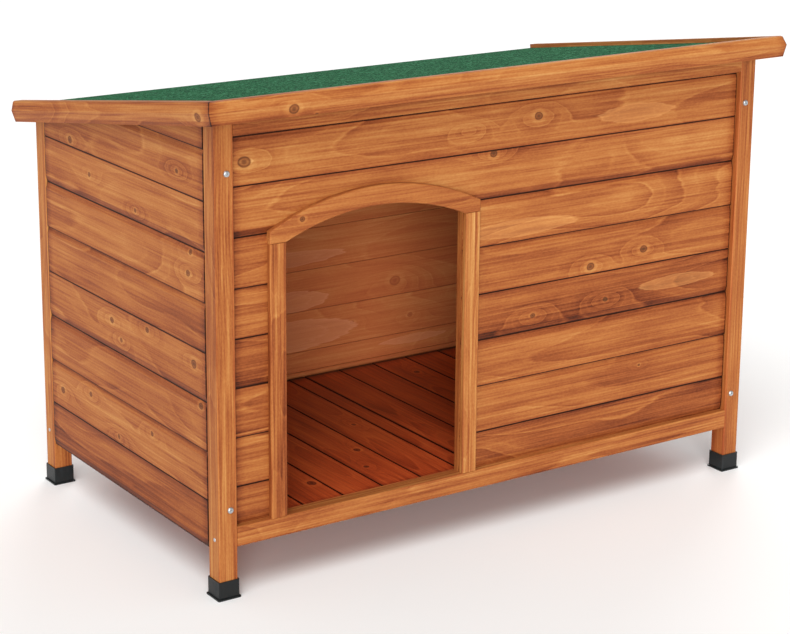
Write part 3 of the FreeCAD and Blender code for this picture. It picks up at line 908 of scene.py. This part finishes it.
@dataclass
class Fasteners:
    """The screws that show: through the posts, in their sides and on the hinge leaves."""

    zinc: Material
    post_screw: CrossHeadScrew = field(default_factory=lambda: CrossHeadScrew(
        4.8 * MM, 2.5 * MM, 2.2 * MM, 30 * MM, 1.9 * MM))
    sunk_screw: CrossHeadScrew = field(default_factory=lambda: CrossHeadScrew(
        2.9 * MM, 0.5 * MM, 1.5 * MM, 0.0, 0.25 * MM, 24))
    leaf_screw: CrossHeadScrew = field(default_factory=lambda: CrossHeadScrew(
        3.4 * MM, 0.9 * MM, 1.5 * MM, 0.0, 0.5 * MM, 24))
    sunk_inset: float = 12.8 * MM
    sunk_height: float = 89 * MM
    leaf_end: float = 9 * MM
    leaf_heights: tuple[float, ...] = (8 * MM, 15 * MM, 8 * MM)
    leaf_seat: float = 1.5 * MM
    leaf_inset: float = 7 * MM
    leaf_lift: float = 2.9 * MM
    turns: tuple[float, ...] = (0.3, 1.1, 0.7, 0.1)
    leaf_turns: tuple[float, ...] = (0.1, 0.3, 1.1)

    def build(self) -> None:
        """Make all the screws."""
        self.build_post_screws("front_post_screws", Vector((0, -1, 0)))
        self.build_post_screws("rear_post_screws", Vector((0, 1, 0)))
        self.build_sunk_screws()
        for side in ("left", "right"):
            self.build_leaf_screws(side)

    def build_post_screws(self, node: str, outward: Vector) -> None:
        """Put pan heads on two posts.

        Args:
            node: The frame node that they replace.
            outward: The way their heads look.
        """
        low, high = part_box(node)
        radius = self.post_screw.head_radius
        seat = (low.y if outward.y < 0 else high.y) - outward.y * self.post_screw.head_height
        points = [Vector((x, seat, z)) for x in (low.x + radius, high.x - radius)
                  for z in (low.z + radius, high.z - radius)]
        places = [facing(point, outward, turn) for point, turn in zip(points, self.turns)]
        finish_piece(node + "_pan_head", self.post_screw.group(places), "house", self.zinc, (node,))

    def build_sunk_screws(self) -> None:
        """Put a small sunk screw into the outer side of each post, at the sills."""
        places = []
        for side, side_name in ((-1, "left"), (1, "right")):
            for end, end_name in ((-1, "front"), (1, "rear")):
                low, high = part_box("post_%s_%s" % (end_name, side_name))
                x = low.x if side < 0 else high.x
                y = low.y + self.sunk_inset if end < 0 else high.y - self.sunk_inset
                point = Vector((x, y, self.sunk_height))
                places.append(facing(point, Vector((side, 0, 0)), self.turns[len(places)]))
        finish_piece("post_side_screws", self.sunk_screw.group(places), "house", self.zinc)

    def build_leaf_screws(self, side: str) -> None:
        """Put three sunk screws on the wall leaf and three on the roof leaf of one hinge.

        Args:
            side: left or right.
        """
        low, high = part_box("hinge_wall_leaf_" + side)
        middle, spread = (low.x + high.x) / 2, (high.x - low.x) / 2 - self.leaf_end
        wall, roof = [], []
        for step, height, turn in zip((-1, 0, 1), self.leaf_heights, self.leaf_turns):
            x = middle + step * spread
            wall.append(facing(Vector((x, low.y + self.leaf_seat, low.z + height)), Vector((0, 1, 0)), turn))
            roof.append(facing(self.roof_leaf_point(x), -ROOF_NORMAL, turn))
        for part, body, places in (("wall", "house", wall), ("roof", "roof", roof)):
            name = "hinge_%s_screws_%s" % (part, side)
            finish_piece(name, self.leaf_screw.group(places), body, self.zinc)

    def roof_leaf_point(self, x: float) -> Vector:
        """Find a point of the roof leaves' underside, in from their rear edge.

        Args:
            x: Its place across the house.

        Returns:
            The point.
        """
        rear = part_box("hinge_roof_leaf_left")[1].y
        pivot = Vector(frame["joints"][0]["pos_m"])
        on_line = pivot + ROOF_ALONG * ((rear - pivot.y) / ROOF_ALONG.y - self.leaf_inset)
        return Vector((x, on_line.y, on_line.z)) + ROOF_NORMAL * self.leaf_lift


# Sub-assemblies


@dataclass
class Carcass:
    """Posts, rails, battens, cleats and foot caps."""

    plastic: Material
    post_tones: tuple[float, ...] = (0.04, -0.07, 0.0, -0.03)
    rail_tones: tuple[tuple[str, float], ...] = (
        ("front_sill", -0.05), ("rear_sill", -0.05), ("front_top_rail", -0.04), ("rear_top_rail", -0.02))
    inner_stain: tuple = linear(166, 80, 40)
    inner_strength: float = 0.35
    post_skin: float = 2.5 * MM
    rail_skin: float = 2 * MM
    seed: int = 10

    def dress(self) -> None:
        """Finish the posts, rails and battens, and the caps they stand on."""
        seed = self.seed
        for end in ("front", "rear"):
            for side in ("left", "right"):
                self.dress_post("%s_%s" % (end, side), side == "left", seed)
                seed += 1
        for node, tone in self.rail_tones:
            low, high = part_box(node)
            front = low.y < 0
            # The rails' inner side takes the lighter, redder inside tint, partly painted light.
            inner = Inside(high.y - self.rail_skin if front else low.y + self.rail_skin, front)
            cut = centred(node, Axis.X, Axis.Z, Axis.Y, seed, ring=4.2 * MM, heart=26 * MM, taper=0.04,
                          contrast=0.7, fine=1.3, tones=(tone,), inside=inner)
            dress_timber("stained", node, cut)
            seed += 1
        for node in ("front_cleats", "rear_cleats"):
            self.dress_batten(node, node, seed)
            seed += 1

    def dress_post(self, corner: str, left: bool, seed: int) -> None:
        """Finish one post, its cap and the batten behind it.

        Args:
            corner: Its end and side.
            left: Whether it stands on the left.
            seed: Seed of its grain.
        """
        node = "post_" + corner
        low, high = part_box(node)
        inner = Inside(high.x - self.post_skin if left else low.x + self.post_skin, left, self.inner_stain,
                       self.inner_strength)
        cut = centred(node, Axis.Z, Axis.Y, Axis.X, seed, ring=3.4 * MM, heart=30 * MM, spread=70 * MM,
                      taper=0.03, contrast=0.7, fine=1.5, inside=inner,
                      tones=(self.post_tones[seed - self.seed],))
        dress_timber("stained", node, cut)
        dress("foot_cap_" + corner, self.plastic)
        self.dress_batten("side_batten_" + corner, node, seed + 40)

    def dress_batten(self, node: str, beside: str, seed: int) -> None:
        """Finish a hidden sawn batten.

        Args:
            node: The batten.
            beside: The timber whose middle its heart is set from.
            seed: Seed of its grain.
        """
        cut = centred(beside, Axis.Z, Axis.X, Axis.Y, seed, ring=3.0 * MM, heart=24 * MM, contrast=0.6,
                      tones=(-0.06,))
        dress(node, cut.material("sawn_batten_%d" % seed, RAW_SAWN))


@dataclass
class Walls:
    """The tongue-and-groove boards of the four walls, with the knots and flames that each wall shows."""

    front_knots: tuple[Knot, ...] = knots(
        (-440, 632, 7), (66, 642, 5, 1.3), (-16, 594, 4.5), (-60, 634, 0.1, 1.8), (280, 406, 5), (174, 393, 5),
        (206, 335, 3, 1.3), (64, 332, 3, 1.4), (280, 215, 1.8, 0.6))
    left_knots: tuple[Knot, ...] = knots(
        (167, 589, 4.5), (-174, 607, 2.8), (103, 547, 3), (-45, 523, 2.5), (-210, 498, 3), (-202, 466, 4),
        (40, 335, 4), (-74, 350, 3.5), (10, 312, 3), (220, 173, 4.5), (120, 195, 3.5), (-83, 192, 3),
        (26, 154, 3), (-215, 336, 5), (-233, 279, 4))
    rear_knots: tuple[Knot, ...] = knots(
        (175, 240, 7.5, 1.5), (208, 172, 3.5), (85, 178, 3), (-210, 460, 5), (-330, 318, 4), (330, 385, 5),
        (20, 530, 4))
    right_knots: tuple[Knot, ...] = knots(
        (-120, 540, 5), (150, 400, 4), (-60, 320, 3.5), (90, 250, 5), (-180, 170, 4), (40, 110, 3))
    front_sapwood: Sapwood = Sapwood(flames((256, 627, 76, 15), (38, 474, 108, 14), (351, 344, 80, 11)),
                                     linear(212, 150, 88), 0.55, True)
    rear_sapwood: Sapwood = Sapwood(flames((-44, 309, 118, 13), (-34, 233, 70, 19), (-30, 172, 124, 28),
                                           (215, 128, 70, 8)))
    front_tones: tuple[float, ...] = (-0.15, -0.02, -0.08, -0.15, 0.0, -0.02, -0.01, 0.02)
    side_tones: tuple[float, ...] = (-0.17, -0.05, 0.0, -0.06, -0.05, -0.01, 0.0, 0.02, -0.08)
    rear_tones: tuple[float, ...] = (0.03, 0.08, 0.06, 0.06, 0.08, 0.14, 0.12)

    def dress(self) -> None:
        """Finish the boards of every wall."""
        front = ("front_board_1", "front_board_2", "front_boards_left", "front_boards_right")
        self.end_wall(front, "front", 21, self.front_knots, self.front_tones, self.front_sapwood)
        self.end_wall(("rear_boards",), "rear", 22, self.rear_knots, self.rear_tones, self.rear_sapwood)
        for side, seed, its_knots in (("left", 23, self.left_knots), ("right", 24, self.right_knots)):
            self.side_wall(side, seed, its_knots)

    def end_wall(self, nodes: tuple[str, ...], name: str, seed: int, its_knots: tuple[Knot, ...],
                 tones: tuple[float, ...], sapwood: Sapwood) -> None:
        """Finish the boards of the front or the rear wall.

        Args:
            nodes: Their nodes.
            name: Name of the wall.
            seed: Seed of their grain.
            its_knots: Their knots.
            tones: Lightness of each board from the lowest up.
            sapwood: Their pale flames.
        """
        rail_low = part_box(name + "_top_rail")[0].z
        low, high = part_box(nodes[0])
        # The boards' inner side takes the lighter, redder inside tint, partly painted light for the dim inside.
        cut = Grain(Axis.X, Axis.Z, Axis.Y, rail_low - BOARD_PITCH * len(tones), seed, BOARD_PITCH, tones,
                    knots=its_knots, sapwood=sapwood, half_length=high.x,
                    # Painted shadow line on the boards just under the top rail.
                    inside=Inside((low.y + high.y) / 2, name == "front"), rail_shadow=rail_low,
                    bevels=Bevels((len(tones) - 2) % 3))
        material = cut.material("stained_%s_boards" % name)
        for node in nodes:
            dress(node, material)

    def side_wall(self, side: str, seed: int, its_knots: tuple[Knot, ...]) -> None:
        """Finish the boards of one side wall.

        Args:
            side: left or right.
            seed: Seed of their grain.
            its_knots: Their knots.
        """
        node = side + "_wall_boards"
        low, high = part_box(node)
        # The boards' inner side takes the lighter, redder inside tint, partly painted light for the dim inside.
        cut = Grain(Axis.Y, Axis.Z, Axis.X, low.z, seed, BOARD_PITCH, self.side_tones, knots=its_knots,
                    middle=(low.y + high.y) / 2, half_length=(high.y - low.y) / 2,
                    inside=Inside((low.x + high.x) / 2, side == "left"), bevels=Bevels(0))
        dress(node, cut.material("stained_%s_boards" % node))


@dataclass
class Doorway:
    """Jambs, arched header and the linings of the boards' cut ends."""

    header_knots: tuple[Knot, ...] = knots((-352.8, 541.8, 3.2))
    lining: float = 0.6 * MM
    jamb_cut: dict[str, float] = field(default_factory=lambda: {
        "ring": 2.6 * MM, "heart": 40 * MM, "spread": 50 * MM, "taper": 0.02})

    def dress(self) -> None:
        """Finish the jambs and the header, and line the boards' ends."""
        self.build_linings()
        for node, seed, tone in (("door_jamb_left", 31, -0.13), ("door_jamb_right", 32, 0.06)):
            cut = centred(node, Axis.Z, Axis.X, Axis.Y, seed, contrast=0.9, fine=1.7, tones=(tone,),
                          **self.jamb_cut)
            dress_timber("stained", node, cut)
        cut = centred("door_header", Axis.X, Axis.Z, Axis.Y, 33, ring=4.5 * MM, heart=22 * MM, contrast=0.6,
                      tones=(-0.03,), knots=self.header_knots)
        dress_timber("stained", "door_header", cut)

    def build_linings(self) -> None:
        """Make thin strips on the cut ends of the boards, in line with the jambs."""
        for side, edge, inward, seed in (("left", 1, 1, 34), ("right", 0, -1, 35)):
            low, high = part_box("front_boards_" + side)
            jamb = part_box("door_jamb_" + side)
            top = jamb[1].z
            middle = Vector((jamb[edge].x + inward * self.lining / 2, (low.y + high.y) / 2, (low.z + top) / 2))
            shape = bmesh.new()
            bmesh.ops.create_cube(shape, size=1.0)
            bmesh.ops.scale(shape, vec=(self.lining, high.y - low.y, top - low.z), verts=shape.verts)
            bmesh.ops.translate(shape, vec=middle, verts=shape.verts)
            bmesh.ops.bevel(shape, geom=shape.edges, offset=self.lining / 4, segments=2, profile=0.5,
                            affect="EDGES", material=-1)
            cut = Grain(Axis.Z, Axis.Y, Axis.X, middle.y - 0.5, seed, contrast=0.8, fine=1.5, tones=(-0.04,),
                        **self.jamb_cut)
            finish_piece("door_lining_" + side, shape, "house",
                         cut.material("stained_door_lining_" + side), sharp=None)


@dataclass
class FloorPanels:
    """Two panels of planks with their battens and bearers."""

    knots: tuple[Knot, ...] = knots((6, -81, 3), (-95, -140, 4.5), (-164, -168, 3.5), (-178, -275, 6),
                                    (175, 159, 4), (60, -330, 4), (-120, 60, 4))
    tones: tuple[float, ...] = (0.0, -0.05, 0.03, 0.05, 0.0, 0.04, -0.04)
    half_length: float = 252 * MM

    def dress(self) -> None:
        """Finish the planks, battens and bearers."""
        for side, seed in (("left", 41), ("right", 42)):
            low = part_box("floor_planks_" + side)[0]
            cut = Grain(Axis.Y, Axis.X, Axis.Z, low.x, seed, PLANK_PITCH, self.tones, ring=5 * MM,
                        knots=self.knots, half_length=self.half_length, contrast=0.8)
            dress("floor_planks_" + side, cut.material("red_floor_%s" % side, DEEP_RED))
            batten = centred("floor_battens_" + side, Axis.X, Axis.Y, Axis.Z, seed + 10, heart=24 * MM)
            dress_timber("sawn", "floor_battens_" + side, batten, RAW_SAWN)
        for end, seed in (("front", 53), ("rear", 54)):
            bearer = centred("floor_bearer_" + end, Axis.X, Axis.Z, Axis.Y, seed, ring=3.4 * MM, heart=24 * MM)
            dress("floor_bearer_" + end, bearer.material("sawn_bearer_" + end, RAW_SAWN))


@dataclass
class RoofLid:
    """Trims, deck, battens and the felt of the lid."""

    felt: Material
    zinc: Material
    felt_thickness: float = 2.0 * MM
    felt_cells: tuple[int, int] = (96, 76)
    fold_share: float = 0.16
    ripple: float = 0.25 * MM
    fold_radius: float = 2.2 * MM
    still_edge: float = 10 * MM
    skin_share: float = 0.75
    nail_count: int = 9
    nail_radius: float = 3.2 * MM
    nail_edge: float = 0.6 * MM
    nail_height: float = 0.7 * MM
    nail_sunk: float = 0.1 * MM
    nail_drop: float = 7 * MM
    nail_end: float = 20 * MM
    trim_seed: int = 61

    def dress(self) -> None:
        """Finish the lid's timbers and make its felt."""
        self.dress_trims()
        rear = self.lid_ends()[1]
        deck = Grain(Axis.X, Axis.Y, Axis.Z, rear.y - 2 * MM - 9 * BOARD_PITCH, 64, BOARD_PITCH,
                     (0.0, 0.04, -0.03, 0.02, -0.04, 0.03, 0.0, -0.02, 0.04), slope=ROOF_ANGLE)
        dress_timber("stained", "roof_deck", deck)
        for side, seed in (("left", 65), ("middle", 66), ("right", 67)):
            cut = centred("lid_batten_" + side, Axis.Y, Axis.X, Axis.Z, seed, ring=3.4 * MM, heart=26 * MM,
                          contrast=0.7, tones=(-0.03,))
            dress_timber("sawn", "lid_batten_" + side, cut, RAW_SAWN)
        self.build_felt()

    def dress_trims(self) -> None:
        """Finish the three trims, with their mitres at the front corners."""
        low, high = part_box("roof_trim_front")
        ridge, rear = self.lid_ends()
        lip, top = ridge.y / MM, ridge.z / MM
        across = (Axis.X, Axis.Y, 0.0, high.x)
        back = (Axis.Y, Axis.X, (ridge.y + rear.y) / 2, (rear.y - ridge.y) / 2)
        trims = (("front", across, Mitre(ridge.y, 1.0), knots((-388, top - 4, 5.5), (-351, top - 16, 2.5))),
                 ("left", back, Mitre(low.x, 1.0, False), knots((lip + 34, top - 2, 5.5))),
                 ("right", back, Mitre(high.x, -1.0, False), knots((lip + 300, top, 5.5))))
        for number, (side, (along, depth, middle, half), mitre, its_knots) in enumerate(trims):
            cut = Grain(along, Axis.Z, depth, ridge.z - 0.5, self.trim_seed + number, tones=(0.03,),
                        knots=its_knots, slope=ROOF_ANGLE, ring=5 * MM, heart=20 * MM, spread=50 * MM,
                        contrast=0.75, fine=1.2, mitre=mitre, underside=-6 * MM, middle=middle,
                        half_length=half)
            dress_timber("stained", "roof_trim_" + side, cut)

    def lid_ends(self) -> tuple[Vector, Vector]:
        """Find the lid's front ridge and rear end, with the slope turned out as the materials see it.

        Returns:
            A point of the ridge and a point of the rear end.
        """
        level = Matrix.Rotation(ROOF_ANGLE, 3, "X")
        low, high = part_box("roof_trim_front")
        side_low, side_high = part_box("roof_trim_left")
        return level @ Vector((0, low.y, (low.z + high.z) / 2)), level @ Vector((0, side_high.y, side_low.z))

    def build_felt(self) -> None:
        """Make the felt: a slightly wavy sheet over the deck, folded down at the rear."""
        low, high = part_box("roof_felt")
        corner = Vector((0, low.y, high.z)) - Vector((0, 0, self.felt_thickness * math.cos(ROOF_ANGLE)))
        length = (high.y - low.y) / math.cos(ROOF_ANGLE) - self.felt_thickness
        total = length + corner.z - length * math.sin(ROOF_ANGLE) - low.z
        width = high.x - low.x
        shape = bmesh.new()
        bmesh.ops.create_grid(shape, x_segments=self.felt_cells[0], y_segments=self.felt_cells[1], size=0.5)
        for vert in shape.verts:
            x = vert.co.x * width
            run = self.felt_run(vert.co.y + 0.5, length, total)
            vert.co = Vector((x, 0, 0)) + corner + self.draped(run, length)
            if self.still_edge < run < length - self.still_edge:
                wave = noise.noise(Vector((x * 7, run * 5, 1.7)))
                wave += 0.5 * noise.noise(Vector((x * 19, run * 23, 4)))
                vert.co += ROOF_NORMAL * self.ripple * (wave - 0.6)
        shape.normal_update()
        bmesh.ops.solidify(shape, geom=shape.faces, thickness=-self.felt_thickness * self.skin_share)
        piece = finish_piece("roofing_felt", shape, "roof", self.felt, ("roof_felt",), 50.0)
        self.build_nails(corner, length, width)

    def felt_run(self, share: float, length: float, total: float) -> float:
        """Find how far along the felt a row of its grid lies; the last rows lie close, for the fold.

        Args:
            share: The row's place in the grid, 0 to 1.
            length: Where the felt folds down.
            total: Length of the whole felt.

        Returns:
            The distance from the felt's front edge.
        """
        flat, start = 1 - self.fold_share, length - self.fold_radius
        if share < flat:
            return start * share / flat
        return start + (total - start) * (share - flat) / self.fold_share

    def draped(self, run: float, length: float) -> Vector:
        """Find a point of the felt's underside.

        Args:
            run: Distance from its front edge.
            length: Where it folds down.

        Returns:
            The point, from the felt's front lower corner.
        """
        radius, start = self.fold_radius, length - self.fold_radius
        bend = radius * math.pi / 2
        if run <= start:
            return ROOF_ALONG * run
        if run <= start + bend:
            angle = (run - start) / radius
            return (ROOF_ALONG * (start + radius * math.sin(angle))
                    - ROOF_NORMAL * radius * (1 - math.cos(angle)))
        return ROOF_ALONG * length - ROOF_NORMAL * (radius + run - start - bend)

    def build_nails(self, corner: Vector, length: float, width: float) -> None:
        """Put clout nails along the felt's folded rear edge.

        Args:
            corner: The felt's front lower corner.
            length: Where it folds down.
            width: Its width.
        """
        shape = bmesh.new()
        outside = length + self.felt_thickness * self.skin_share
        seat = corner + ROOF_ALONG * outside - ROOF_NORMAL * self.nail_drop
        for index in range(self.nail_count):
            x = (index / (self.nail_count - 1) - 0.5) * (width - 2 * self.nail_end)
            place = facing(seat + Vector((x, 0, 0)), ROOF_ALONG) @ Matrix.Translation((0, 0, -self.nail_sunk))
            bmesh.ops.create_cone(shape, cap_ends=True, segments=20, radius1=self.nail_radius,
                                  radius2=self.nail_radius - self.nail_edge, depth=self.nail_height,
                                  matrix=place)
        finish_piece("felt_nails", shape, "roof", self.zinc)


@dataclass
class LidHardware:
    """Hinges and stays."""

    zinc: Material

    def dress(self) -> None:
        """Plate the hinges, pins and stays."""
        dress("hinge_pins", self.zinc)
        for side in ("left", "right"):
            for node in ("hinge_wall_leaf_", "hinge_roof_leaf_", "stay_arm_", "stay_guide_", "stay_pivot_"):
                dress(node + side, self.zinc)


# Studio


@dataclass
class Studio:
    """Pale floor, soft light and the camera."""

    camera_place: Vector = field(default_factory=lambda: Vector((-1.87459, -2.76812, 1.28321)))
    heading: float = math.radians(-34.0)
    tilt: float = math.radians(14.76)
    roll: float = math.radians(0.46)
    lens: float = 98.35
    shift: float = -0.1
    light_distance: float = 4.0
    floor_size: float = 60.0
    floor_colour: tuple = linear(246, 246, 245)
    sky: float = 0.46
    lights: tuple[tuple[str, tuple, float, float], ...] = (
        ("front_light", (-0.54, -0.84, 0.18), 26.0, 2.42), ("top_light", (-0.42, -0.38, 0.82), 38.0, 1.7),
        ("back_light", (0.60, 0.65, 0.45), 30.0, 1.0))

    def build(self) -> None:
        """Set up the floor, the lights and the camera."""
        self.build_floor()
        self.build_sky()
        for name, towards, spread, strength in self.lights:
            self.build_light(name, Vector(towards), spread, strength)
        self.build_camera()
        bpy.context.scene.view_settings.view_transform = "Standard"

    def build_floor(self) -> None:
        """Make the floor."""
        shape = bmesh.new()
        bmesh.ops.create_grid(shape, x_segments=1, y_segments=1, size=self.floor_size / 2)
        floor = stand("studio_floor", mesh_of("studio_floor", shape))
        finish = Graph("pale_floor").finish(self.floor_colour, 0.8, Specular_IOR_Level=0.1)
        floor.data.materials.append(finish)

    def build_sky(self) -> None:
        """Make the even light of a white room."""
        world = bpy.data.worlds.new("white_room")
        world.use_nodes = True
        background = world.node_tree.nodes["Background"]
        background.inputs["Color"].default_value = (1.0, 1.0, 1.0, 1.0)
        background.inputs["Strength"].default_value = self.sky
        bpy.context.scene.world = world

    def build_light(self, name: str, towards: Vector, spread: float, strength: float) -> None:
        """Set up a far soft light.

        Args:
            name: The light's name.
            towards: Direction from the house to it.
            spread: How wide it looks from the house, in degrees.
            strength: Its strength in watts per square metre.
        """
        light = bpy.data.lights.new(name, "SUN")
        light.angle = math.radians(spread)
        light.energy = strength
        lamp = stand(name, light)
        lamp.location = towards.normalized() * self.light_distance
        lamp.rotation_euler = towards.to_track_quat("Z", "Y").to_euler()

    def build_camera(self) -> None:
        """Set the camera at the photograph's viewing angle."""
        data = bpy.data.cameras.new("camera")
        data.lens = self.lens
        data.sensor_width = 36.0
        data.shift_y = self.shift
        camera = stand("camera", data)
        level = Euler((math.pi / 2 - self.tilt, 0, self.heading)).to_matrix().to_4x4()
        turned = level @ Matrix.Rotation(self.roll, 4, "Z")
        camera.matrix_world = Matrix.Translation(self.camera_place) @ turned
        bpy.context.scene.camera = camera


def main() -> None:
    """Dress the frame and build the pieces round it."""
    logging.basicConfig(level=logging.INFO, format="%(name)s: %(message)s")
    Studio().build()
    zinc = ZincFinish().material()
    Carcass(PlasticFinish().material()).dress()
    Walls().dress()
    Doorway().dress()
    FloorPanels().dress()
    RoofLid(FeltFinish().material(), zinc).dress()
    LidHardware(zinc).dress()
    Fasteners(zinc).build()
    bpy.context.view_layer.update()


if __name__ == "__main__":
    main()
